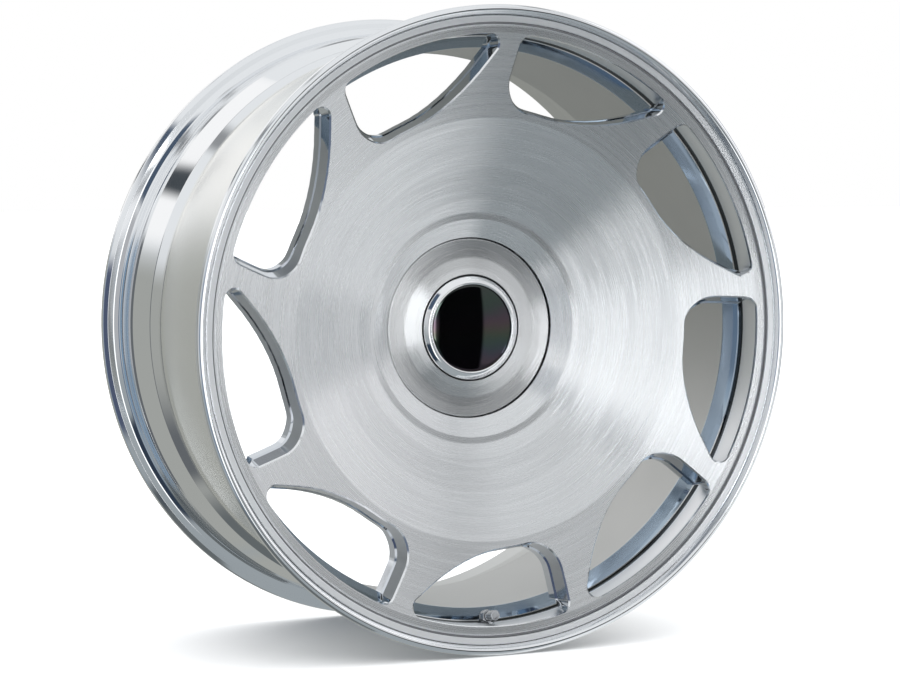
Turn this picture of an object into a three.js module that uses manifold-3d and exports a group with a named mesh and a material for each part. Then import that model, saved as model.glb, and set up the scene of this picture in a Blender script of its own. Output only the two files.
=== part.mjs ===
// Forged wheel rim: polished barrel, brushed face disc with nine windows, centre cap, valve.
// Millimetres. Origin at the wheel's centre, axis along Y, face toward -Y, +Z up.
// Angles round the wheel are in degrees from the top (+Z), clockwise seen from the face.
import * as THREE from "three";
import { mergeVertices } from "three/addons/utils/BufferGeometryUtils.js";
import Module from "manifold-3d";

// ---- driving dimensions
const GAP = 0.3; // clearance between pieces that touch
const FLANGE_R = 297; // outer radius of both flanges
const HALF_W = 138.75; // half of the overall width
const WELL_R = 265.5; // outside of the drop centre
const WELL_IN = 260; // inside of the drop centre
const SLEEVE_IN = 271.5; // inside of the barrel behind the disc's rim
const SEAT_R = 281.3; // pocket in the front lip that takes the disc
const SEAT_Y = -125.5; // floor of that pocket
const DISC_R = 279.4; // outer radius of the disc's rim
const WINDOWS = 9;
const WINDOW_PHASE = 20.3; // middle of the first window
const WINDOW_OUT = 271; // outer edge of the windows
const WINDOW_IN = 201; // innermost point of the windows
const WINDOW_MID = [0.5, 238]; // angle and radius that a window's wall leans toward
const UNROLL = 235; // radius at which a window's outline is drawn flat
const WALL = 26; // depth of a window's wall
const DRAFT = 5; // how far the wall leans in over that depth
const OVERCUT = 12; // how far a cutter runs past the surface it cuts
const PAD_Y = -20; // hub mounting face
const FLOOR_Y = -34; // floor of the lug well
const BORE_R = 35; // centre bore in the disc
const LUGS = 5;
const LUG_PCR = 56; // radius of the lug circle
const CAP_R = 83.4; // outer radius of the centre cap
const VALVE_R = 268; // valve hole, from the wheel's axis
const VALVE_Y = -92; // valve seat on the barrel's inner slope
const VALVE_TILT = 12; // lean of the valve toward the wheel's axis
const SEG_WHEEL = 60;
const SEG_CAP = 32;
const SEG_SMALL = 16;

const wasm = await Module();
wasm.setup();
const rad = THREE.MathUtils.degToRad;

// ---- helpers
function solid(geometry) {
  const bare = geometry.clone();
  bare.deleteAttribute("normal");
  bare.deleteAttribute("uv");
  const g = mergeVertices(bare, 1e-4);
  const idx = g.index.array;
  const tri = [];
  for (let i = 0; i < idx.length; i += 3) {
    const [a, b, c] = [idx[i], idx[i + 1], idx[i + 2]];
    if (a !== b && b !== c && c !== a) tri.push(a, b, c);
  }
  return new wasm.Manifold(
    new wasm.Mesh({
      numProp: 3,
      vertProperties: g.attributes.position.array,
      triVerts: new Uint32Array(tri),
    }),
  );
}

// Solid of revolution about Y from a closed list of [radius, y], with a flat facet lowest.
function turned(profile, segments) {
  const pts = profile.map(([r, y]) => new THREE.Vector2(r, y));
  if (THREE.ShapeUtils.area(pts) < 0) pts.reverse();
  pts.push(pts[0].clone());
  return solid(new THREE.LatheGeometry(pts, segments, Math.PI / segments));
}

const rod = (r, y0, y1, segments) => turned([[0, y0], [r, y0], [r, y1], [0, y1]], segments);
const tube = (r0, r1, y0, y1, segments) =>
  turned([[r0, y0], [r1, y0], [r1, y1], [r0, y1]], segments);

// Solid from a stack of closed rings of equal length; each ring is a list of Vector3.
function lofted(rings) {
  const n = rings[0].length;
  const verts = rings.flat().flatMap((p) => [p.x, p.y, p.z]);
  const tri = [];
  for (let k = 0; k + 1 < rings.length; k++)
    for (let i = 0; i < n; i++) {
      const j = (i + 1) % n;
      const [a, b, c, d] = [k * n + i, k * n + j, (k + 1) * n + i, (k + 1) * n + j];
      tri.push(a, b, d, a, d, c);
    }
  const flat = rings[0].map((p) => new THREE.Vector2(p.x, p.z));
  const last = (rings.length - 1) * n;
  for (const [a, b, c] of THREE.ShapeUtils.triangulateShape(flat, []))
    tri.push(a, c, b, last + a, last + b, last + c);
  const make = (t) =>
    new wasm.Manifold(
      new wasm.Mesh({
        numProp: 3,
        vertProperties: new Float32Array(verts),
        triVerts: new Uint32Array(t),
      }),
    );
  const s = make(tri);
  if (s.volume() > 0) return s;
  for (let i = 0; i < tri.length; i += 3) [tri[i], tri[i + 1]] = [tri[i + 1], tri[i]];
  return make(tri);
}

// Solid along a chain of small closed rings, with a fan over each end.
function wire(rings) {
  const n = rings[0].length;
  const tri = [];
  for (let k = 0; k + 1 < rings.length; k++)
    for (let i = 0; i < n; i++) {
      const j = (i + 1) % n;
      tri.push(k * n + i, k * n + j, (k + 1) * n + j, k * n + i, (k + 1) * n + j, (k + 1) * n + i);
    }
  const last = (rings.length - 1) * n;
  for (let i = 1; i + 1 < n; i++) tri.push(0, i + 1, i, last, last + i, last + i + 1);
  const g = new THREE.BufferGeometry();
  g.setAttribute("position", new THREE.Float32BufferAttribute(
    rings.flat().flatMap((p) => [p.x, p.y, p.z]), 3));
  g.setIndex(tri);
  const s = solid(g);
  if (s.volume() > 0) return s;
  g.setIndex(tri.reverse());
  return solid(g);
}

const polar = (deg, r, y) =>
  new THREE.Vector3(r * Math.sin(rad(deg)), y, r * Math.cos(rad(deg)));

// Closed outline with rounded corners; corners are [angle, radius, fillet] on the unrolled face.
function roundedOutline(corners, unroll) {
  const pts = corners.map(([a, r]) => new THREE.Vector2(rad(a) * unroll, r));
  const out = [];
  corners.forEach(([, , fillet, steps], i) => {
    const p = pts[i];
    const u = pts[(i + pts.length - 1) % pts.length].clone().sub(p).normalize();
    const v = pts[(i + 1) % pts.length].clone().sub(p).normalize();
    const half = Math.acos(u.dot(v)) / 2;
    const centre = p.clone().addScaledVector(u.clone().add(v).normalize(), fillet / Math.sin(half));
    const from = p.clone().addScaledVector(u, fillet / Math.tan(half)).sub(centre);
    const to = p.clone().addScaledVector(v, fillet / Math.tan(half)).sub(centre);
    let turn = to.angle() - from.angle();
    if (turn > Math.PI) turn -= 2 * Math.PI;
    if (turn < -Math.PI) turn += 2 * Math.PI;
    for (let k = 0; k <= steps; k++)
      out.push(from.clone().rotateAround(new THREE.Vector2(), (turn * k) / steps).add(centre));
  });
  return out.map((p) => [THREE.MathUtils.radToDeg(p.x / unroll), p.y]);
}

// ---- barrel: front lip, drop centre and rear flange in one forging
const FLANGE_Y = HALF_W - 5.5;
const barrelProfile = [
  [SLEEVE_IN, SEAT_Y], [SEAT_R, SEAT_Y], [SEAT_R, -132], [287.2, -132.8],
  [287.6, -131], [288.5, -131], [288.8, -134.8], [290.4, -137.8], [292.4, -HALF_W],
  [294.9, -138], [296.5, -135.8], [FLANGE_R, -FLANGE_Y], [296.4, -130.4], [294, -128],
  [286.5, -124.8], [282, -120.8], [279.6, -115], [278.4, -98], [279.8, -94.5],
  [278.2, -90], [267.5, -79.5], [WELL_R, -75.5],
  [WELL_R, 50.5], [272, 63.5], [279, 96], [279.9, 99.5], [278.5, 103.5], [279.8, 119],
  [282, 123.6], [287, 126.6], [294, 128], [296.4, 130.4], [FLANGE_R, FLANGE_Y],
  [296.5, 135.8], [294.9, 138], [292.4, HALF_W], [283, 137.2], [273.6, 133], [272.2, 98],
  [266.5, 65], [WELL_IN, 52], [WELL_IN, -84], [261.8, -88.6], [269.8, -96],
  [SLEEVE_IN, -99.5],
];

// ---- face disc
const FACE = [
  [DISC_R, -131.4], [WINDOW_OUT, -129.5], [195, -110], [150, -90.8], [101.8, -73], [84.6, -61.5],
];
function faceY(r) {
  for (let i = 0; i + 1 < FACE.length; i++) {
    const [r0, y0] = FACE[i];
    const [r1, y1] = FACE[i + 1];
    if (r <= r0 && r >= r1) return y0 + ((y1 - y0) * (r0 - r)) / (r0 - r1);
  }
  return r > DISC_R ? FACE[0][1] : FACE[FACE.length - 1][1];
}
const discProfile = [
  ...FACE,
  [84.3, FLOOR_Y], [41.5, FLOOR_Y], [41.5, -46], [BORE_R, -46], [BORE_R, PAD_Y],
  [76, PAD_Y], [86, -26], [99, -60], [150, -79], [186, -94], [194, -86], [200, -84.6],
  [SLEEVE_IN - GAP, -103.4], [SLEEVE_IN - GAP, SEAT_Y - GAP], [DISC_R, SEAT_Y - GAP],
];

// Window outline: blunt end first, then round clockwise to the pointed end.
const WINDOW_CORNERS = [
  [-15.9, WINDOW_OUT, 11, 3], [-18.4, WINDOW_IN, 28, 4], [9.5, WINDOW_IN, 110, 6],
  [21.8, WINDOW_OUT, 10, 4],
];
const windowOutline = roundedOutline(WINDOW_CORNERS, UNROLL);
for (const a of [12, 7, 2, -3, -8]) windowOutline.push([a, WINDOW_OUT]);

// The wall leans in, except along the outer edge, where it opens out behind the disc's rim.
function windowCutter() {
  const atRim = (r) => r > WINDOW_OUT - 2;
  const leaned = ([deg, r]) => {
    if (atRim(r)) return [deg, r + DRAFT];
    const across = rad(WINDOW_MID[0] - deg) * r;
    const down = WINDOW_MID[1] - r;
    const lean = DRAFT / Math.hypot(across, down);
    return [deg + THREE.MathUtils.radToDeg((lean * across) / r), r + lean * down];
  };
  const rear = windowOutline.map(leaned);
  const ring = (pts, depth) =>
    pts.map(([a, r], i) => polar(a, r, faceY(windowOutline[i][1]) + depth(windowOutline[i][1])));
  return lofted([
    ring(windowOutline, () => -OVERCUT),
    ring(windowOutline, () => 0),
    ring(windowOutline, (r) => (atRim(r) ? 3.5 : 2)),
    ring(rear, () => WALL),
    ring(rear, () => WALL + OVERCUT),
  ]);
}

// ---- placing helpers: about the wheel's axis, and about the valve's axis
const about = (s, deg) => s.rotate([0, deg, 0]);
const atLug = (s, i) => s.translate([0, 0, LUG_PCR]).rotate([0, (360 / LUGS) * i, 0]);
const atValve = (s) => s.rotate([-VALVE_TILT, 0, 0]).translate([0, VALVE_Y, -VALVE_R]);

// ---- materials
const metal = (color, roughness) =>
  new THREE.MeshStandardMaterial({ color, metalness: 1, roughness });
const plain = (color, roughness) =>
  new THREE.MeshStandardMaterial({ color, metalness: 0, roughness });

const root = new THREE.Group();
root.name = "forged_wheel_rim";
function add(name, s, material) {
  const m = s.getMesh();
  const g = new THREE.BufferGeometry();
  g.setAttribute("position", new THREE.BufferAttribute(new Float32Array(m.vertProperties), 3));
  g.setIndex(new THREE.BufferAttribute(new Uint32Array(m.triVerts), 1));
  g.computeVertexNormals();
  const mesh = new THREE.Mesh(g, material);
  mesh.name = name;
  root.add(mesh);
}

// ---- wheel
const VALVE_HOLE = 4.4;
const SPOT_FACE = 7.2; // radius of the flat seat under the valve's nut
const HEAD_FACE = 6; // radius of the flat seat under the valve's head
const WEB = 8; // metal left between the two seats
const barrel = turned(barrelProfile, SEG_WHEEL)
  .subtract(atValve(rod(VALVE_HOLE, -30, 30, SEG_SMALL)))
  .subtract(atValve(rod(SPOT_FACE, -16, 0, SEG_SMALL)))
  .subtract(atValve(rod(HEAD_FACE, WEB, 22, SEG_SMALL)));
add("barrel", barrel, metal(0xd4d8dc, 0.08));

let disc = turned(discProfile, SEG_WHEEL);
const cutter = windowCutter();
for (let i = 0; i < WINDOWS; i++)
  disc = disc.subtract(about(cutter, WINDOW_PHASE + (360 / WINDOWS) * i));
const LUG_HOLE = 10;
for (let i = 0; i < LUGS; i++)
  disc = disc.subtract(atLug(rod(LUG_HOLE, -60, 0, SEG_SMALL), i));
add("face_disc", disc, metal(0xc3c8cd, 0.35));

add("seam_ring", tube(DISC_R + GAP, SEAT_R - GAP, -130.2, SEAT_Y - GAP, SEG_WHEEL), plain(0x24272a, 0.6));

for (let i = 0; i < LUGS; i++)
  add(
    "lug_seat_" + (i + 1),
    atLug(
      turned(
        [[7.3, PAD_Y - GAP], [LUG_HOLE - GAP, PAD_Y - GAP], [LUG_HOLE - GAP, FLOOR_Y - GAP],
          [13, FLOOR_Y - GAP],
          [13, -37], [11.6, -37], [7.3, -31]],
        SEG_SMALL,
      ),
      i,
    ),
    metal(0x8f9499, 0.4),
  );
add("hub_ring", tube(33.3, BORE_R - GAP, -31, PAD_Y - GAP, SEG_CAP), plain(0x1b1c1e, 0.5));

// ---- centre cap
const PLATE_BACK = -53.5;
const SCREWS = 3;
const SCREW_R = 46.5; // radius of the screw circle
const plateScrewAt = (s, i) =>
  about(s.translate([0, 0, SCREW_R]), 60 + (360 / SCREWS) * i);
let plate = turned(
  [[CAP_R, -51], [CAP_R, -59.2], [82.6, -60], [66, -59.2], [49.6, -63], [48.8, -62.4],
    [48.8, -57.7], [30, -57.7], [30, PLATE_BACK], [80.4, PLATE_BACK], [80.4, -51]],
  SEG_CAP,
);
let carrier = turned(
  [[31.4, -35], [34.4, -35], [34.4, -39.9], [33, -39.9], [33, -42.5], [34.4, -42.5],
    [34.4, -50.2], [51, -50.2], [51, PLATE_BACK + GAP], [31.4, PLATE_BACK + GAP]],
  SEG_CAP,
);
for (let i = 0; i < SCREWS; i++) {
  plate = plate.subtract(plateScrewAt(rod(1.6, -56.8, -50, SEG_SMALL), i));
  carrier = carrier.subtract(plateScrewAt(rod(1.8, -58, -45, SEG_SMALL), i));
}
add("cap_plate", plate, metal(0xcfd3d6, 0.3));
add(
  "cap_bezel",
  turned(
    [[48.5, -58], [48.5, -62.3], [46.8, -65.2], [44.3, -66.4], [41.8, -66], [40.5, -64.6],
      [40.5, -60.9], [34, -60.9], [34, -58]],
    SEG_CAP,
  ),
  metal(0xe6e8ea, 0.04),
);
add(
  "cap_disc",
  turned([[0, -67.6], [15, -67.2], [29, -66.2], [40.2, -64.8], [40.2, -61.2], [0, -61.2]], SEG_CAP),
  plain(0x050607, 0.06),
);
add("cap_carrier", carrier, plain(0x17181a, 0.5));
add("cap_o_ring", turned([[36.2, -48.1], [37.4, -49.9], [39.4, -49.9], [40.6, -48.1],
  [39.4, -46.3], [37.4, -46.3]], SEG_CAP), plain(0x101112, 0.8));
const snap = tube(33.3, 34.8, -42.2, -40.2, SEG_CAP).subtract(
  lofted([-44, -38].map((y) => [[-3, 30], [3, 30], [3, 38], [-3, 38]].map(
    ([x, z]) => new THREE.Vector3(x, y, z)))),
);
add("cap_snap_ring", snap, metal(0x9a9ea2, 0.35));
for (let i = 0; i < SCREWS; i++)
  add(
    "cap_screw_" + (i + 1),
    plateScrewAt(
      turned([[0, -56.4], [1.3, -56.4], [1.3, -49.9], [2.8, -49.9], [2.8, -48.2], [0, -48.2]], SEG_SMALL),
      i,
    ),
    metal(0x8f9499, 0.35),
  );

// ---- valve, built about its own axis with the seat at 0 and the open end toward -Y
const nut = solid(new THREE.CylinderGeometry(6.4, 6.4, 6, 6)).translate([0, -6.5, 0])
  .subtract(rod(4.3, -12, 0, SEG_SMALL));
add("valve_stem", atValve(turned(
  [[2.5, -21], [3.2, -21], [3.2, -14.5], [4, -13.5], [4, 10], [5.4, 10], [5.4, 13.4],
    [1.3, 13.4], [1.3, -1.5], [2.5, -2.7]], SEG_SMALL)), metal(0xb9bcc0, 0.25));
add("valve_nut", atValve(nut), metal(0xa9adb1, 0.25));
add("valve_washer", atValve(tube(4.3, 6.2, -3.2, -2.1, SEG_SMALL)), metal(0xa9adb1, 0.3));
add("valve_seal_outer", atValve(tube(4.3, 6, -1.8, -GAP, SEG_SMALL)), plain(0x111213, 0.85));
add("valve_seal_inner", atValve(tube(4.3, 5.5, 8 + GAP, 9.7, SEG_SMALL)), plain(0x111213, 0.85));
add("valve_core_body", atValve(tube(1.1, 2.2, -19.5, -12, SEG_SMALL)), metal(0xb08d4a, 0.3));
add("valve_core_pin", atValve(turned(
  [[0, -20.6], [0.7, -20.6], [0.7, -11], [1.7, -10.7], [1.7, -9.8], [0.7, -9.5], [0.7, -2],
    [0, -2]], 12)), metal(0xb08d4a, 0.3));
// Return spring: wire of six-sided section along a helix round the pin.
const COIL_STEPS = 36;
const STEPS_PER_TURN = 10;
const COIL_R = 1.75;
const WIRE_R = 0.3;
const coil = [];
for (let k = 0; k <= COIL_STEPS; k++) {
  const turn = (2 * Math.PI * k) / STEPS_PER_TURN;
  const out = new THREE.Vector3(Math.sin(turn), 0, Math.cos(turn));
  const centre = out.clone().multiplyScalar(COIL_R);
  centre.y = -8 + (5 * k) / COIL_STEPS;
  coil.push([0, 1, 2, 3, 4, 5].map((i) =>
    centre.clone().addScaledVector(out, WIRE_R * Math.cos(rad(60 * i)))
      .add(new THREE.Vector3(0, WIRE_R * Math.sin(rad(60 * i)), 0))));
}
add("valve_core_spring", atValve(wire(coil)), metal(0x9a9ea2, 0.3));
const CAP_END = -25;
add("valve_cap", atValve(turned(
  [[0, CAP_END], [4.2, CAP_END], [4.8, CAP_END + 0.8], [4.8, -14.9], [3.5, -14.9], [3.5, -22.6],
    [0, -22.6]], SEG_SMALL)), metal(0x9fa4a9, 0.25));
add("valve_cap_seal", atValve(tube(1.2, 3.2, -22.3, -21.3, SEG_SMALL)), plain(0x111213, 0.85));

export default root;
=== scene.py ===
# Forged wheel rim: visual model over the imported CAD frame.
# Lengths in this file are millimetres in the CAD frame: axis along Y, face toward -Y, +Z up.
# Angles round the wheel are degrees from the top (+Z), clockwise seen from the face.
import math

import bmesh
import bpy
import numpy as np
from mathutils import Matrix, Vector


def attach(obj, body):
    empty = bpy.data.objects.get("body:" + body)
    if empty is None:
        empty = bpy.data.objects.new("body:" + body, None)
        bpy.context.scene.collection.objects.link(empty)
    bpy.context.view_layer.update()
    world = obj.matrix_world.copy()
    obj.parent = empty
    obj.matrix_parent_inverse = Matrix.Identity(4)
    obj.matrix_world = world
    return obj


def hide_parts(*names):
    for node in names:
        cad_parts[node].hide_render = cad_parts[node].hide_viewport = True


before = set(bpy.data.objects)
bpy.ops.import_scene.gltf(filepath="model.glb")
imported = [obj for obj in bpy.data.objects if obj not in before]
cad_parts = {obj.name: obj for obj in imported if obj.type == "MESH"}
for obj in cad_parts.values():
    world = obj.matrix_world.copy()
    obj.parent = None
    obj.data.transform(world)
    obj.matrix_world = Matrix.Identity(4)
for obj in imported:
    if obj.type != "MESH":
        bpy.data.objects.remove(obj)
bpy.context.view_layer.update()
MM = 0.001
SHARP_DEG = 22          # edges steeper than this stay sharp
NORMAL_WEIGHT = 80      # how far large faces lead the smooth normals
NOISE_PER_TURN = 2.2    # noise units across the unit circle in the brushing vector
ARC_STEP = 0.12         # radians between points of a fillet
STRAIGHT = 1.55         # half angle in radians above which a corner counts as straight
ON_AXIS = 1e-6          # a radius below this is on the axis
WELD = 1e-7             # vertices closer than this, in metres, become one


# ------------------------------------------------------------------ mesh helpers
def rounded(corners, steps=6, share=0.46):
    """Closed outline of (a, b) points from corners (a, b, fillet); each fillet becomes an arc
    that takes up at most that share of the shorter side."""
    pts = [Vector(c[:2]) for c in corners]
    out = []
    for i, corner in enumerate(corners):
        p, before, after = pts[i], pts[i - 1], pts[(i + 1) % len(pts)]
        fillet = corner[2] if len(corner) > 2 else 0
        u, v = (before - p), (after - p)
        room = share * min(u.length, v.length)
        u.normalize()
        v.normalize()
        half = math.acos(max(-1, min(1, u.dot(v)))) / 2
        if fillet <= 0 or half > STRAIGHT or corner[0] <= ON_AXIS:
            out.append(p)
            continue
        reach = min(fillet / math.tan(half), room)
        radius = reach * math.tan(half)
        centre = p + (u + v).normalized() * (radius / math.sin(half))
        a, b = p + u * reach - centre, p + v * reach - centre
        start, turn = math.atan2(a.y, a.x), math.atan2(b.y, b.x) - math.atan2(a.y, a.x)
        turn = (turn + math.pi) % (2 * math.pi) - math.pi
        n = max(2, min(steps, math.ceil(abs(turn) / ARC_STEP)))
        for k in range(n + 1):
            t = start + turn * k / n
            out.append(centre + radius * Vector((math.cos(t), math.sin(t))))
    return out


def polar(deg, r, y):
    """Point in metres at an angle and radius round the wheel's axis."""
    a = math.radians(deg)
    return Vector((r * math.sin(a), y, r * math.cos(a))) * MM


def new_object(name, verts, faces):
    """Linked mesh object with doubled vertices merged and normals outward."""
    mesh = bpy.data.meshes.new(name)
    mesh.from_pydata([tuple(v) for v in verts], [], faces)
    bm = bmesh.new()
    bm.from_mesh(mesh)
    bmesh.ops.remove_doubles(bm, verts=bm.verts, dist=WELD)
    bmesh.ops.recalc_face_normals(bm, faces=bm.faces)
    bm.to_mesh(mesh)
    bm.free()
    obj = bpy.data.objects.new(name, mesh)
    bpy.context.scene.collection.objects.link(obj)
    return obj


def lathe(name, corners, segments, steps=6, ripple=None):
    """Solid of revolution about Y. ripple(angle, r, y) adds to the radius, such as for a knurl."""
    profile = rounded(corners, steps)
    verts, rings = [], []
    for r, y in profile:
        if r <= ON_AXIS:
            rings.append([len(verts)] * segments)
            verts.append(Vector((0, y, 0)) * MM)
        else:
            rings.append(list(range(len(verts), len(verts) + segments)))
            for i in range(segments):
                a = 360 * i / segments
                verts.append(polar(a, r + (ripple(a, r, y) if ripple else 0), y))
    faces = []
    for k, ring in enumerate(rings):
        after = rings[(k + 1) % len(rings)]
        for i in range(segments):
            j = (i + 1) % segments
            face = list(dict.fromkeys([ring[i], ring[j], after[j], after[i]]))
            if len(face) > 2:
                faces.append(face)
    return new_object(name, verts, faces)


def lofted(name, rings):
    """Closed solid through rings of equally many points."""
    n = len(rings[0])
    verts = [v for ring in rings for v in ring]
    faces = [[k * n + i, k * n + (i + 1) % n, (k + 1) * n + (i + 1) % n, (k + 1) * n + i]
             for k in range(len(rings) - 1) for i in range(n)]
    faces += [list(range(n)), list(range((len(rings) - 1) * n, len(rings) * n))]
    return new_object(name, verts, faces)


def combine(obj, other, operation):
    """Boolean of obj with other, applied to obj's mesh; other is removed."""
    mod = obj.modifiers.new("combine", "BOOLEAN")
    mod.operation, mod.object, mod.solver = operation, other, "EXACT"
    bpy.context.view_layer.update()
    done = obj.evaluated_get(bpy.context.evaluated_depsgraph_get())
    mesh = bpy.data.meshes.new_from_object(done)
    obj.modifiers.remove(mod)
    obj.data = mesh
    bpy.data.objects.remove(other)
    return obj


def joined(parts):
    """One object from several, for cutting with."""
    bm = bmesh.new()
    for p in parts:
        p.data.transform(p.matrix_basis)
        bm.from_mesh(p.data)
    mesh = bpy.data.meshes.new(parts[0].name)
    bm.to_mesh(mesh)
    bm.free()
    for p in parts[1:]:
        bpy.data.objects.remove(p)
    parts[0].data = mesh
    parts[0].matrix_basis = Matrix.Identity(4)
    return parts[0]


def shade(obj, angle=SHARP_DEG):
    """Smooth shading with sharp edges above the angle, led by the large faces."""
    for poly in obj.data.polygons:
        poly.use_smooth = True
    obj.data.set_sharp_from_angle(angle=math.radians(angle))
    mod = obj.modifiers.new("normals", "WEIGHTED_NORMAL")
    mod.keep_sharp = True
    mod.weight = NORMAL_WEIGHT


def piece(obj, body, material, angle=SHARP_DEG):
    """A finished piece: shaded, coloured, riding on its body in place of its CAD node."""
    shade(obj, angle)
    obj.data.materials.clear()
    obj.data.materials.append(material)
    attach(obj, body)
    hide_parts(obj.name.removeprefix("fine_"))
    return obj


def placed(obj, matrix):
    """The object with its mesh moved by the matrix."""
    obj.data.transform(matrix)
    return obj


# ------------------------------------------------------------------ node helper
class Graph:
    """Short names for building a shader node tree; every method returns an output socket,
    except node(), which returns the node."""

    def __init__(self, tree):
        self.tree = tree
        tree.nodes.clear()

    def node(self, kind, values=None, **props):
        n = self.tree.nodes.new(kind)
        for k, v in props.items():
            setattr(n, k, v)
        for k, v in (values or {}).items():
            self.feed(n.inputs[k], v)
        return n

    def feed(self, socket, value):
        if isinstance(value, bpy.types.NodeSocket):
            self.tree.links.new(value, socket)
        else:
            socket.default_value = value

    def math(self, op, a, b=0.0):
        return self.node("ShaderNodeMath", {0: a, 1: b}, operation=op).outputs[0]

    def vec(self, op, a, b=(0, 0, 0)):
        n = self.node("ShaderNodeVectorMath", {0: a, 1: b}, operation=op)
        return n.outputs["Value" if op in ("LENGTH", "DOT_PRODUCT") else "Vector"]

    def smooth(self, value, low, high, to_low=0.0, to_high=1.0):
        n = self.node("ShaderNodeMapRange", {"Value": value, "From Min": low, "From Max": high,
                      "To Min": to_low, "To Max": to_high}, interpolation_type="SMOOTHSTEP")
        return n.outputs["Result"]

    def noise(self, vector, scale, detail=2.0, rough=0.5):
        n = self.node("ShaderNodeTexNoise", {"Vector": vector, "Scale": scale, "Detail": detail,
                      "Roughness": rough})
        return n.outputs["Fac"]

    def mix(self, factor, a, b):
        n = self.node("ShaderNodeMix", data_type="RGBA")
        for socket, v in ((n.inputs[0], factor), (n.inputs[6], a), (n.inputs[7], b)):
            self.feed(socket, v)
        return n.outputs[2]

    def place(self):
        """Object position in mm, its distance from the Y axis, and a seamless brushing vector."""
        co = self.vec("MULTIPLY", self.node("ShaderNodeTexCoord").outputs["Object"], (1000,) * 3)
        flat = self.vec("MULTIPLY", co, (1, 0, 1))
        radius = self.vec("LENGTH", flat)
        x, _, z = self.node("ShaderNodeSeparateXYZ", {0: self.vec("NORMALIZE", flat)}).outputs
        rows = self.node("ShaderNodeCombineXYZ", {0: radius,
                         1: self.math("MULTIPLY", x, NOISE_PER_TURN),
                         2: self.math("MULTIPLY", z, NOISE_PER_TURN)})
        return co, radius, rows.outputs[0]

    def along(self, axis):
        """Object position in mm along X (0), Y (1) or Z (2)."""
        return self.node("ShaderNodeSeparateXYZ", {0: self.place()[0]}).outputs[axis]


def principled(name, colour, roughness, bump=None, **constants):
    """Material, its Graph and its shader; colour, roughness and bump are functions of a Graph."""
    mat = bpy.data.materials.new(name)
    mat.use_nodes = True
    g = Graph(mat.node_tree)
    shader = g.node("ShaderNodeBsdfPrincipled")
    g.node("ShaderNodeOutputMaterial", {"Surface": shader.outputs[0]})
    for key, value in constants.items():
        shader.inputs[key.replace("_", " ")].default_value = value
    g.feed(shader.inputs["Base Color"], colour(g))
    g.feed(shader.inputs["Roughness"], roughness(g))
    if bump:
        height, strength, distance = bump(g)
        n = g.node("ShaderNodeBump", {"Height": height, "Strength": strength,
                   "Distance": distance * MM})
        g.feed(shader.inputs["Normal"], n.outputs[0])
    return mat, g, shader


def speckled(base, spread, scale=0.05):
    """Colour that wanders a little about base over the surface."""
    def colour(g):
        co, _, _ = g.place()
        dark = tuple(c * (1 - spread) for c in base) + (1,)
        light = tuple(min(1, c * (1 + spread)) for c in base) + (1,)
        return g.mix(g.noise(co, scale, 4), dark, light)
    return colour


def wandering(low, high, scale=0.03):
    """Roughness that wanders between low and high."""
    return lambda g: g.smooth(g.noise(g.place()[0], scale, 3), 0.35, 0.65, low, high)


def grain(scale, strength, distance):
    """Fine bump of the given depth in mm."""
    return lambda g: (g.noise(g.place()[0], scale, 3), strength, distance)


def plain(name, base, spread, rough, bump=None, scales=(0.05, 0.03), **constants):
    """Material with a speckled colour, a roughness range and grain; scales are the noise scales."""
    return principled(name, speckled(base, spread, scales[0]), wandering(*rough, scales[1]),
                      grain(*bump) if bump else None, **constants)[0]


def brushed(name, base, low, high, wobble):
    """Metal brushed in circles about the wheel's axis; wobble tilts single rows, in radians."""
    def rows(g):
        _, _, vector = g.place()
        fine = g.noise(g.vec("MULTIPLY", vector, (2.6, 1.0, 1.0)), 1.0, 3, 0.6)
        wide = g.noise(g.vec("MULTIPLY", vector, (0.35, 0.7, 0.7)), 1.0, 2, 0.5)
        return g.math("ADD", g.math("MULTIPLY", fine, 0.65), g.math("MULTIPLY", wide, 0.35))

    def colour(g):
        streak = g.smooth(rows(g), 0.3, 0.7)
        return g.mix(streak, tuple(c * 0.955 for c in base) + (1,), tuple(base) + (1,))

    mat, g, shader = principled(name, colour, lambda g: g.smooth(rows(g), 0.3, 0.7, low, high),
                                lambda g: (rows(g), 0.06, 0.02),
                                Metallic=1.0, Anisotropic=1.0)
    round_way = g.node("ShaderNodeTangent", direction_type="RADIAL", axis="Y").outputs[0]
    position = g.node("ShaderNodeTexCoord").outputs["Object"]
    outward = g.vec("NORMALIZE", g.vec("MULTIPLY", position, (1, 0, 1)))
    _, _, vector = g.place()
    wander = g.noise(g.vec("MULTIPLY", vector, (0.45, 1.2, 1.2)), 1.0, 2, 0.55)
    sway = g.smooth(wander, 0.28, 0.72, -wobble, wobble)
    swayed = g.node("ShaderNodeVectorMath", {0: round_way, "Scale": sway}, operation="SCALE")
    g.feed(shader.inputs["Tangent"], g.vec("ADD", outward, swayed.outputs[0]))
    return mat


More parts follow.
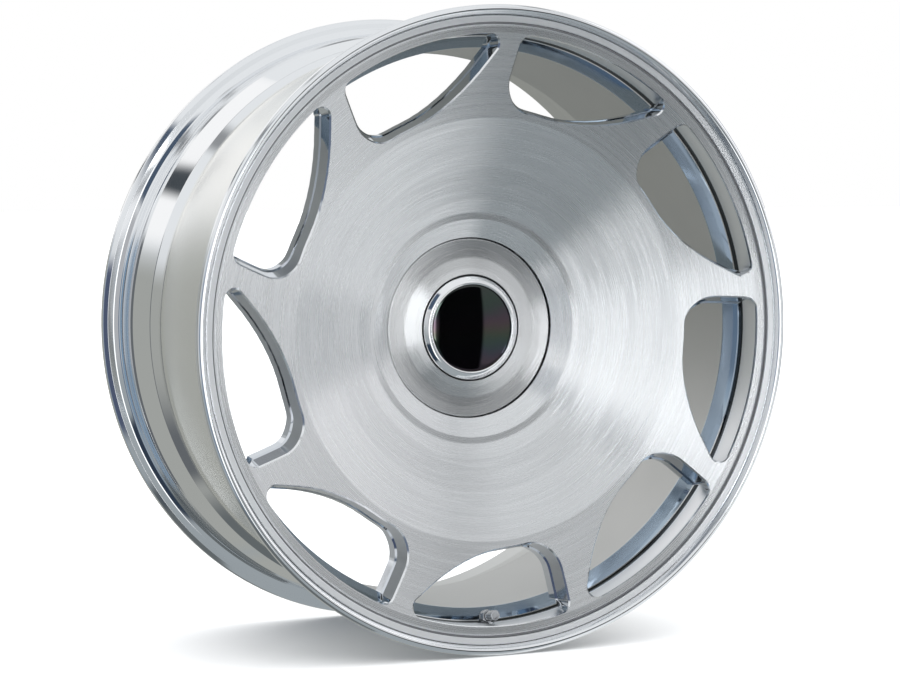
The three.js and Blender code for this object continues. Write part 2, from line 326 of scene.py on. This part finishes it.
def barrel_metal():
    """Mirror polish on lip and seats, satin drop centre, dull inner side, painted shade as a dark
    step at the disc, and a sloping band painted blue-grey as a reflection.
    """
    def satin(g):
        """1 on the floor of the drop centre."""
        return g.smooth(g.place()[1], 267.5, 266.0)

    def parts(g):
        """Masks: dull inner side, wall round the disc, the step painted dark as shade, and the
        sloping band painted blue-grey as a reflection.
        """
        co, radius, _ = g.place()
        y = g.along(1)
        outward = g.vec("NORMALIZE", g.vec("MULTIPLY", co, (1, 0, 1)))
        facing = g.vec("DOT_PRODUCT", g.node("ShaderNodeTexCoord").outputs["Normal"], outward)
        inner = g.math("MULTIPLY", g.smooth(facing, 0.1, -0.1), g.smooth(y, -83.2, -82.6))
        front = g.math("MULTIPLY", g.smooth(y, -82.6, -83.2), g.smooth(radius, 272.5, 271.8))
        sleeve = g.math("MULTIPLY", front, g.smooth(y, -102.5, -103.0))
        # Step behind the disc, painted dark as shade
        step = g.math("MULTIPLY", front, g.math("MULTIPLY", g.smooth(y, -102.6, -102.0),
                                                g.smooth(y, -96.8, -97.2)))
        # Sloping band inside the step, painted blue-grey as a reflection
        painted_reflection_slope = g.math("MULTIPLY", front, g.smooth(radius, 269.9, 269.4))
        return inner, sleeve, step, painted_reflection_slope

    def colour(g):
        inner, _, step, painted_reflection_slope = parts(g)
        tone = g.mix(satin(g), (0.90, 0.91, 0.925, 1), (0.92, 0.92, 0.90, 1))
        tone = g.mix(inner, tone, (0.70, 0.70, 0.685, 1))
        # The sloping band is painted blue-grey: a painted reflection.
        tone = g.mix(painted_reflection_slope, tone, (0.42, 0.50, 0.58, 1))
        # The step is painted nearly black: painted shade in the gap behind the disc.
        return g.mix(step, tone, (0.07, 0.075, 0.08, 1))

    def roughness(g):
        inner, sleeve, _, _ = parts(g)
        rebate = g.math("MULTIPLY", g.smooth(g.along(1), -129.0, -130.0),
                        g.smooth(g.place()[1], 287.0, 286.6))
        smudge = g.smooth(g.noise(g.place()[0], 0.02, 3), 0.3, 0.7, 0.0, 0.02)
        base = g.math("ADD", g.math("MULTIPLY", satin(g), 0.2), g.math("ADD", smudge, 0.05))
        base = g.math("ADD", base, g.math("MULTIPLY", rebate, 0.32))
        return g.math("ADD", base, g.math("ADD", g.math("MULTIPLY", sleeve, 0.3),
                                          g.math("MULTIPLY", inner, 0.30)))

    return principled("polished_aluminium", colour, roughness, Metallic=1.0)[0]


def gloss_black():
    """Black lacquer with a faint iridescent film whose thickness in nm changes with height."""
    mat, g, shader = principled("gloss_black", speckled((0.0008, 0.0008, 0.001), 0.3),
                                wandering(0.015, 0.03), Specular_IOR_Level=0.6,
                                Thin_Film_IOR=1.62)
    ripple = g.math("MULTIPLY", g.noise(g.place()[0], 0.05, 2), 14)
    film = g.smooth(g.math("ADD", g.along(2), ripple), -34, 48, 330, 620)
    g.feed(shader.inputs["Thin Film Thickness"], film)
    return mat


FINE = (0.3, 0.2)       # noise scales of the small steel and brass parts
M = {
    "barrel": barrel_metal(),
    "face": brushed("brushed_face", (0.86, 0.87, 0.88), 0.24, 0.32, 0.11),
    "plate": brushed("brushed_plate", (0.88, 0.885, 0.89), 0.24, 0.28, 0.03),
    # The window walls are painted shade: a darker, bluish copy of the disc's metal.
    "wall": plain("window_wall_painted_shade", (0.72, 0.75, 0.79), 0.05, (0.05, 0.09), (0.07, 0.12, 0.3),
                  Metallic=1.0),
    "edge": plain("window_edge", (0.93, 0.94, 0.95), 0.02, (0.12, 0.18), Metallic=1.0),
    "seam": plain("seam_sealant", (0.16, 0.165, 0.175), 0.2, (0.4, 0.6), (0.8, 0.3, 0.05)),
    "chrome": plain("chrome", (0.93, 0.935, 0.945), 0.02, (0.02, 0.04), Metallic=1.0),
    "black": gloss_black(),
    "plastic": plain("black_plastic", (0.02, 0.02, 0.022), 0.2, (0.4, 0.55), (1.5, 0.3, 0.04)),
    "rubber": plain("black_rubber", (0.015, 0.015, 0.016), 0.3, (0.6, 0.8), (1.2, 0.4, 0.05)),
    "steel": plain("steel", (0.55, 0.56, 0.58), 0.08, (0.22, 0.34), (2.0, 0.08, 0.02), FINE,
                   Metallic=1.0),
    "nickel": plain("nickel_steel", (0.68, 0.69, 0.70), 0.05, (0.15, 0.25), (2.0, 0.05, 0.02),
                    FINE, Metallic=1.0),
    "brass": plain("brass", (0.70, 0.50, 0.22), 0.08, (0.2, 0.32), (2.0, 0.05, 0.02), FINE,
                   Metallic=1.0),
}

# ------------------------------------------------------------------ wheel
SEG = 288                                   # segments round the large pieces
WINDOWS, WINDOW_PHASE = 9, 20.3             # count, and the first one's angle
WINDOW_OUT, WINDOW_IN = 271.0, 201.0        # radii of a window's outer and inner edge
LUGS, LUG_CIRCLE, LUG_HOLE = 5, 56, 10      # count, circle radius and hole radius
# Valve axes: Y along the stem, away from the face
VALVE = Matrix.Translation(Vector((0, -92, -268)) * MM) @ Matrix.Rotation(math.radians(-12), 4, "X")
# Front of the disc as (radius, y), from the edge to the hub recess
FACE = [(279.4, -130.5), (271, -129.5), (195, -110), (150, -90.8), (101.8, -73), (84.6, -61.5)]


def face_y(r):
    """Height of the disc's front at a radius."""
    rs, ys = zip(*FACE[::-1])
    return float(np.interp(r, rs, ys))


barrel_corners = [
    (271.5, -125.5, 0.4), (281.3, -125.5, 0.3), (281.3, -132, 0.5), (286.6, -132.9, 0.5),
    (287.2, -131.7, 0.3), (288.2, -131.7, 0.3), (288.8, -134.6, 1.2), (290.4, -137.8, 2.2),
    (292.4, -138.75, 2.5), (294.9, -138, 2.5), (296.5, -135.8, 2.5), (297, -133.25, 2.5),
    (296.4, -130.4, 2.5), (294, -128, 2.5), (286.5, -124.8, 8), (282, -120.8, 7), (279.6, -115, 8),
    (278.4, -98, 2), (279.8, -94.5, 2.2), (278.2, -90, 3), (267.5, -79.5, 6), (265.5, -75.5, 6),
    (265.5, 50.5, 6), (272, 63.5, 5), (278.6, 94.5, 1.5), (279.9, 97.5, 1.2), (279.9, 99.5, 1.2),
    (278.6, 102.5, 1.2), (278.9, 106.5, 0.6), (279.5, 107.2, 0.6), (279.6, 111.5, 0.6),
    (280.2, 112.2, 0.6), (280.4, 118.5, 4), (282.2, 123.4, 4), (287, 126.4, 5), (292.5, 127.2, 1),
    (294.2, 128.6, 1.2), (296.4, 130.4, 2),
    (297, 133.25, 2.5), (296.5, 135.8, 2.5), (294.9, 138, 2.5), (292.4, 138.75, 2.5),
    (283, 137.2, 6), (273.6, 133, 8), (272.2, 98, 20), (266.5, 65, 20), (260, 52, 10),
    (260, -84, 1.2), (269.8, -96, 1.6), (271.5, -99.5, 1.2),
]
barrel = lathe("fine_barrel", barrel_corners, SEG)
hole = lathe("hole", [(0, -30), (4.4, -30), (4.4, 30), (0, 30)], 48)
spot = lathe("spot", [(0, -16), (7.2, -16), (7.2, 0), (0, 0)], 48)
relief = lathe("relief", [(0, 8), (6, 8), (6, 22), (0, 22)], 48)
for cutter in (hole, spot, relief):
    combine(barrel, placed(cutter, VALVE), "DIFFERENCE")
piece(barrel, "wheel", M["barrel"])

disc_corners = [
    (279.4, -129.2, 0.2), (277.8, -130.4, 0.2), (271.6, -129.7, 1), (195, -110, 7),
    (150, -90.8, 40), (121, -80.1, 14), (108, -73.9, 6), (101.8, -73, 1.2),
    (84.6, -61.5, 0.7), (84.3, -34, 1.5), (41.5, -34, 1), (41.5, -46, 0.8), (35, -46, 0.8),
    (35, -20, 0.8), (76, -20, 1.5), (86, -26, 8), (99, -60, 12), (150, -79, 30), (186, -94, 6),
    (194, -86, 3), (200, -84.6, 3), (271.2, -103.4, 0.6), (271.2, -125.8, 0.2),
    (279.4, -125.8, 0.4),
]


UNROLL = 235            # radius at which degrees round the wheel are laid out flat
SHIFT = 1000            # keeps the flat outline clear of the axis, where rounded() stays sharp
WINDOW_MID = Vector((0, 238))
WINDOW_CORNERS = [(-15.9, WINDOW_OUT, 11), (-18.4, WINDOW_IN, 28), (9.5, WINDOW_IN, 110),
                  (21.8, WINDOW_OUT, 10)]   # degrees, radius, fillet
POINT_GAP = 5           # longest distance between outline points


def window_outline():
    """(angle, radius) points round a window, relative to its middle, and inward unit normals."""
    raw = rounded([(math.radians(a) * UNROLL + SHIFT, r, f) for a, r, f in WINDOW_CORNERS], 14, 1)
    raw = [Vector((p.x - SHIFT, p.y)) for p in raw]
    dense = []
    for p, q in zip(raw, raw[1:] + raw[:1]):
        n = max(1, round((q - p).length / POINT_GAP))
        dense += [p.lerp(q, k / n) for k in range(n)]
    out = []
    for i, p in enumerate(dense):
        tangent = (dense[(i + 1) % len(dense)] - dense[i - 1]).normalized()
        normal = Vector((-tangent.y, tangent.x))
        if normal.dot(WINDOW_MID - p) < 0:
            normal = -normal
        out.append((math.degrees(p.x / UNROLL), p.y, normal))
    return out


def step(value, low, high):
    """Smooth step from 0 at low to 1 at high."""
    t = max(0.0, min(1.0, (value - low) / (high - low)))
    return t * t * (3 - 2 * t)


# A window's wall as (depth behind the face, distance inward from the outline)
WALL_RINGS = [(-3, -3), (1.4, 1.4), (14, 4.0), (15.6, 5.2), (25.2, 6.0), (27.5, 4.4), (40, 4.4)]


def window_cutter(turn):
    """Solid that cuts one window: the first band of faces is its edge, the rest its wall."""
    rings = []
    outline = window_outline()
    for depth, inset in WALL_RINGS:
        ring = []
        for angle, r, normal in outline:
            inner = step(WINDOW_OUT - r, 0.3, 7)            # 0 at the outer edge, where rim rules
            blunt = 1 + 0.45 * step(-angle, 8, 15)          # wider wall at the blunt end
            rim = -1.2 if depth < 0 else 0.2 if depth < 3 else -0.4 - 0.2 * depth
            d = inset * (blunt if depth > 2 else 1) * inner + rim * (1 - inner)
            ring.append(polar(turn + angle + math.degrees(d * normal.x / r), r + d * normal.y,
                              face_y(r) + depth))
        rings.append(ring)
    cutter = lofted("window", rings)
    edge_end = 2 * len(outline)
    for poly in cutter.data.polygons:
        poly.material_index = 2 if max(poly.vertices) < edge_end else 1
    return cutter


def at_lug(i):
    """Matrix that moves a piece from the wheel's axis to lug hole i."""
    return (Matrix.Rotation(math.radians(360 / LUGS * i), 4, "Y") @
            Matrix.Translation((0, 0, LUG_CIRCLE * MM)))


disc = lathe("fine_face_disc", disc_corners, SEG)
windows = joined([window_cutter(WINDOW_PHASE + 360 / WINDOWS * k) for k in range(WINDOWS)])
# The same slots on both, so that the cut faces keep the cutter's materials
for material in (M["face"], M["wall"], M["edge"]):
    disc.data.materials.append(material)
    windows.data.materials.append(material)
combine(disc, windows, "DIFFERENCE")
LUG_CUT = [(0, -60), (LUG_HOLE, -60), (LUG_HOLE, 0), (0, 0)]
lug_holes = joined([placed(lathe("lug", LUG_CUT, 48), at_lug(i)) for i in range(LUGS)])
combine(disc, lug_holes, "DIFFERENCE")
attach(disc, "wheel")
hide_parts("face_disc")
shade(disc)

seam = lathe("fine_seam_ring", [(279.55, -128.9, 0.2), (280.35, -128.6, 0.4), (281.15, -128.9, 0.2),
                                (281.15, -125.8), (279.55, -125.8)], SEG)
piece(seam, "wheel", M["seam"])
hub_ring = lathe("fine_hub_ring", [(33.3, -31, 0.4), (34.7, -31, 0.4), (34.7, -20.3, 0.3),
                                   (33.3, -20.3, 0.6)], 96)
piece(hub_ring, "wheel", M["plastic"])
LUG_SEAT = [(7.3, -20.3, 0.4), (9.7, -20.3, 0.3), (9.7, -34.3, 0.2), (13, -34.3, 0.4),
            (13, -37, 0.5), (11.6, -37, 0.3), (7.3, -31, 0.6)]
for i in range(LUGS):
    seat = placed(lathe(f"fine_lug_seat_{i + 1}", LUG_SEAT, 64), at_lug(i))
    piece(seat, "wheel", M["steel"])

# ------------------------------------------------------------------ centre cap
SHADE_GROOVE_RADIUS = 49.95      # radius inside which the plate is painted black as shade in the groove between plate and bezel
DOME_RADIUS, DOME_TOP, DOME_DROP = 40, -67.6, 2.8
DOME = [(0, DOME_TOP)] + [(k, DOME_TOP + DOME_DROP * (k / DOME_RADIUS) ** 2)
                          for k in range(1, DOME_RADIUS)]
CAP = [
    ("fine_cap_plate", "plate", "brushed_aluminium",
     [(83.4, -51, 0.3), (83.4, -59.2, 0.4), (82.6, -60, 0.5), (74, -59.3, 30), (66, -59.2, 12),
      (56, -61.2, 20), (50.3, -62.9, 0.3), (49.9, -62.4, 0.3), (49.9, -57.7), (30, -57.7),
      (30, -53.5), (80.4, -53.5), (80.4, -51, 0.3)]),
    ("fine_cap_bezel", "chrome", "chrome",
     [(48.4, -58), (48.4, -62.9, 0.3), (47.9, -63.5, 0.3), (44.6, -66.1, 6), (42.2, -66.7, 1),
      (41.0, -66.3, 0.4), (40.5, -65.2, 0.3), (40.5, -60.9), (34, -60.9), (34, -58)]),
    ("fine_cap_disc", "black", "gloss_black",
     DOME + [(40.2, -64.7, 0.3), (40.2, -61.2), (0, -61.2)]),
    ("fine_cap_carrier", "plastic", "black_plastic",
     [(31.4, -35, 0.5), (34.4, -35, 0.6), (34.4, -39.9), (33, -39.9), (33, -42.5), (34.4, -42.5),
      (34.4, -50.2), (51, -50.2, 0.4), (51, -53.2, 0.2), (31.4, -53.2)]),
    ("fine_cap_o_ring", "rubber", "black_rubber",
     [(36.2, -48.1, 1.2), (37.4, -49.9, 1.2), (39.4, -49.9, 1.2), (40.6, -48.1, 1.2),
      (39.4, -46.3, 1.2), (37.4, -46.3, 1.2)]),
]
for name, material, slot, corners in CAP:
    piece(lathe(name, corners, 192), "centre_cap", M[material])
# Faces of the plate inside the groove radius take the black plastic: painted shade in the groove
# round the bezel.
plate = bpy.data.objects["fine_cap_plate"].data
plate.materials.append(M["plastic"])
for poly in plate.polygons:
    if Vector((poly.center.x, poly.center.z)).length < SHADE_GROOVE_RADIUS * MM:
        poly.material_index = 1

# ------------------------------------------------------------------ valve
KNURL_RIDGES, KNURL_DEPTH = 24, 0.22


def knurl(deg, r, y):
    """Ridges along the outside of the valve cap, below its plain collar."""
    if r > 4.4 and y < -16.5:
        return -KNURL_DEPTH * (0.5 + 0.5 * math.cos(math.radians(deg * KNURL_RIDGES)))
    return 0


threads = [(2.5, -21, 0.1), (3.2, -20.8, 0.1)]
threads += [(3.72 if k % 2 else 3.3, -20.4 + 0.42 * k, 0.05) for k in range(15)]
# name, body, material, slot, segments, ripple, profile
VALVE_PARTS = [
    ("fine_valve_stem", "wheel", "nickel", "nickel_steel", 48, None,
     threads + [(4, -13.5, 0.2), (4, 10, 0.3), (5.4, 10, 0.4), (5.4, 13.4, 0.6), (1.3, 13.4, 0.1),
                (1.3, -1.5), (2.5, -2.7)]),
    ("fine_valve_washer", "wheel", "steel", "steel", 64, None,
     [(4.3, -3.2, 0.1), (6.2, -3.2, 0.25), (6.2, -2.1, 0.1), (4.3, -2.1, 0.1)]),
    ("fine_valve_seal_outer", "wheel", "rubber", "black_rubber", 64, None,
     [(4.3, -1.8, 0.1), (6, -1.8, 0.5), (6, -0.3, 0.5), (4.3, -0.3, 0.1)]),
    ("fine_valve_seal_inner", "wheel", "rubber", "black_rubber", 64, None,
     [(4.3, 8.3, 0.1), (5.5, 8.3, 0.3), (5.5, 9.7, 0.3), (4.3, 9.7, 0.1)]),
    ("fine_valve_core_body", "wheel", "brass", "brass", 48, None,
     [(1.1, -19.5, 0.1), (2.2, -19.5, 0.25), (2.2, -12, 0.2), (1.1, -12, 0.1)]),
    ("fine_valve_core_pin", "valve_pin", "brass", "brass", 32, None,
     [(0, -20.6), (0.7, -20.6, 0.3), (0.7, -11, 0.1), (1.7, -10.7, 0.1), (1.7, -9.8, 0.1),
      (0.7, -9.5, 0.1), (0.7, -2, 0.2), (0, -2)]),
    ("fine_valve_cap", "valve_cap_turn", "steel", "steel", 240, knurl,
     [(0, -25), (4.2, -25, 0.9), (4.8, -24.2, 0.9), (4.8, -16.6, 0.1), (4.8, -16.3, 0.1),
      (4.8, -14.9, 0.3), (3.5, -14.9, 0.2), (3.5, -22.6, 0.1), (0, -22.6)]),
    ("fine_valve_cap_seal", "valve_cap_travel", "rubber", "black_rubber", 48, None,
     [(1.2, -22.3, 0.1), (3.2, -22.3, 0.3), (3.2, -21.3, 0.3), (1.2, -21.3, 0.1)]),
]
for name, body, material, slot, segments, ripple, corners in VALVE_PARTS:
    obj = placed(lathe(name, corners, segments, ripple=ripple), VALVE)
    piece(obj, body, M[material], angle=35)
nut = lathe("fine_valve_nut", [(0, -9.5), (6.4, -9.5), (6.4, -3.5), (0, -3.5)], 6)
chamfered = lathe("round", [(0, -9.5), (5.5, -9.5), (6.45, -8.9), (6.45, -4.1), (5.5, -3.5),
                            (0, -3.5)], 96)
combine(nut, chamfered, "INTERSECT")
bore = lathe("bore", [(0, -12), (4.9, -12), (4.3, -8.9), (4.3, 0), (0, 0)], 64)
combine(nut, bore, "DIFFERENCE")
piece(placed(nut, VALVE), "wheel", M["steel"], angle=25)

# These keep their CAD shape
for node in ("cap_snap_ring", "cap_screw_1", "cap_screw_2", "cap_screw_3", "valve_core_spring"):
    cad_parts[node].data.materials.clear()
    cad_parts[node].data.materials.append(M["steel"])

# ------------------------------------------------------------------ floor, light, camera
FLOOR_Z, FLOOR_HALF = -297.0, 3e4
corners = [Vector((x * FLOOR_HALF, y * FLOOR_HALF, FLOOR_Z)) * MM
           for x, y in ((-1, -1), (1, -1), (1, 1), (-1, 1))]
floor = new_object("floor", corners, [(0, 1, 2, 3)])
floor_mat = principled("floor", speckled((0.93, 0.93, 0.93), 0.01), wandering(0.6, 0.7))[0]
floor.data.materials.append(floor_mat)
floor.visible_glossy = False

# Studio seen in reflections: azimuth from, to, elevation from, to, softness, colour.
# Azimuth 0 is straight in front of the face, negative to the left; later panels cover earlier.
LOW, HIGH = (0.33, 0.365, 0.385), (0.83, 0.85, 0.865)
PANELS = [
    (-180, -42, -90, -44, 3, (0.13, 0.145, 0.15)),
    (-180, -60, 47, 53, 2, (0.30, 0.31, 0.32)),
    (100, 180, 47, 53, 2, (0.30, 0.31, 0.32)),
    (-180, -60, 66, 70, 2, (0.42, 0.43, 0.44)),
    (-180, -100, -50, 12, 5, (0.375, 0.385, 0.365)),
    (140, 180, -50, 12, 5, (0.375, 0.385, 0.365)),
    (-180, -128, 15, 46, 3, (1.0, 1.0, 1.0)),
    (-150, -141, 25, 38, 1.5, (0.06, 0.07, 0.08)),
    (-134, -112, -45, 20, 3, (0.13, 0.14, 0.15)),
    (-100, -86, -14, 12, 3, (0.6, 0.61, 0.62)),
    (-86, -70, -50, 20, 4, (0.22, 0.33, 0.46)),
    (-70, -56, -30, 12, 3, (0.08, 0.10, 0.16)),
    (-56, -31, 24, 48, 2, (0.07, 0.10, 0.15)),
    (-56, -33, -50, -24, 2, (0.03, 0.045, 0.07)),
    (-50, -32, -12, 22, 3, (0.45, 0.46, 0.48)),
    (-30, -10, -38, 22, 2, (1.45, 1.47, 1.48)),
    (4.5, 9.8, -8, 10, 0.6, (5.6, 5.7, 5.8)),
    (11, 30, -20, 13, 0.8, (0.01, 0.01, 0.012)),
    (30.5, 68, -16, 50, 0.8, (0.72, 0.735, 0.75)),
    (41, 138, -60, -10, 2, (0.84, 0.865, 0.88)),
    (70, 96, 6, 48, 3, (1.8, 1.78, 1.8)),
    (100, 135, -8, 18, 4, (0.10, 0.14, 0.22)),
]


def within(g, value, start, end, soft):
    """1 between start and end, fading to 0 over soft at both."""
    off = g.math("ABSOLUTE", g.math("SUBTRACT", value, (start + end) / 2))
    half = (end - start) / 2
    return g.smooth(off, half + soft, half - soft)


def studio(world):
    """World that reflects the studio, and is plain white where it is seen directly."""
    g = Graph(world.node_tree)
    d = g.node("ShaderNodeSeparateXYZ", {0: g.node("ShaderNodeTexCoord").outputs["Generated"]})
    deg = 180 / math.pi
    ahead = g.math("MULTIPLY", d.outputs[1], -1)
    azimuth = g.math("MULTIPLY", g.math("ARCTAN2", d.outputs[0], ahead), deg)
    elevation = g.math("MULTIPLY", g.math("ARCSINE", d.outputs[2]), deg)
    colour = g.mix(g.smooth(elevation, -18, 26), LOW + (1,), HIGH + (1,))
    for az_from, az_to, el_from, el_to, soft, c in PANELS:
        across = within(g, azimuth, az_from, az_to, soft)
        up = within(g, elevation, el_from, el_to, soft)
        colour = g.mix(g.math("MULTIPLY", across, up), colour, c + (1,))
    seen = g.node("ShaderNodeLightPath").outputs["Is Camera Ray"]
    back = g.node("ShaderNodeBackground", {"Color": g.mix(seen, colour, (1, 1, 1, 1))})
    g.node("ShaderNodeOutputWorld", {"Surface": back.outputs[0]})


world = bpy.data.worlds.new("studio")
world.use_nodes = True
studio(world)
bpy.context.scene.world = world

lamp = bpy.data.lights.new("overhead", "SUN")
lamp.energy, lamp.angle = 3.6, math.radians(120)
over = bpy.data.objects.new("overhead", lamp)
over.location = (0, -0.6, 3.2)
over.visible_glossy = False
bpy.context.scene.collection.objects.link(over)

# The camera stands at this direction and distance from the wheel's middle; yaw and pitch turn
# it a little off the middle.
AZIMUTH, ELEVATION, DISTANCE = math.radians(-24.83), math.radians(3.10), 2.609
YAW, PITCH = math.radians(-0.156), math.radians(-0.272)
back = Vector((math.sin(AZIMUTH) * math.cos(ELEVATION), -math.cos(AZIMUTH) * math.cos(ELEVATION),
               math.sin(ELEVATION)))
right = Vector((math.cos(AZIMUTH), math.sin(AZIMUTH), 0))
up = right.cross(-back)
turn = Matrix.Rotation(YAW, 3, up)
forward, right = turn @ -back, turn @ right
turn = Matrix.Rotation(PITCH, 3, right)
forward, up = turn @ forward, turn @ up
cam_data = bpy.data.cameras.new("camera")
cam_data.lens, cam_data.sensor_width = 109.2, 36.0
camera = bpy.data.objects.new("camera", cam_data)
facing = Matrix((right, up, -forward)).transposed().to_4x4()
camera.matrix_world = Matrix.Translation(back * DISTANCE) @ facing
bpy.context.scene.collection.objects.link(camera)
bpy.context.scene.camera = camera
bpy.context.scene.view_settings.view_transform = "Standard"
